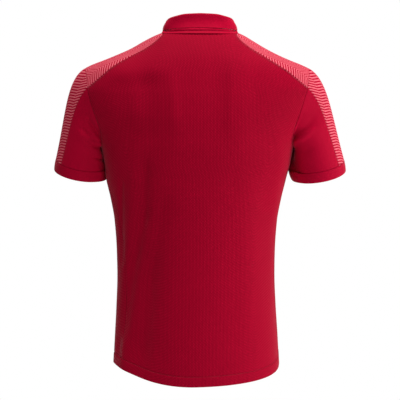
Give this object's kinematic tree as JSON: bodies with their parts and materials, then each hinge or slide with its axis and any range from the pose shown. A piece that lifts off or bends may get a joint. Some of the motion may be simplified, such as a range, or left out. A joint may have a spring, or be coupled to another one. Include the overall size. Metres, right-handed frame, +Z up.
{
  "type": "polo shirt",
  "caption": "Short-sleeved knitted polo shirt with a fold-over collar, buttoned front placket, patterned shoulders and sleeve strips, and a dropped back hem, filled out as worn.",
  "frame": {"origin": "middle of the neck opening at the height of the high shoulder points, where the wearer's neck and shoulders hold the shirt", "axes": "+X to the wearer's left, +Y to the wearer's back, +Z up; the wearer faces -Y"},
  "size_m": [0.6046, 0.2408, 0.7523],
  "materials": {
    "pique": "ribbed pique knit",
    "pattern": "printed knit in two reds",
    "plain": "smooth knit",
    "collar": "flat rib knit",
    "button": "dyed resin"
  },
  "bodies": {
    "root": {"back": "pique", "front": "pique", "placket_over": "pique", "placket_under": "pique", "collar": "collar", "yoke_left": "pattern", "yoke_right": "pattern", "sleeve_strip_left": "pattern", "sleeve_strip_right": "pattern", "sleeve_left": "plain", "sleeve_right": "plain", "cuff_left": "plain", "cuff_right": "plain", "button_1": "button", "button_2": "button", "button_3": "button"}
  },
  "joints": []
}
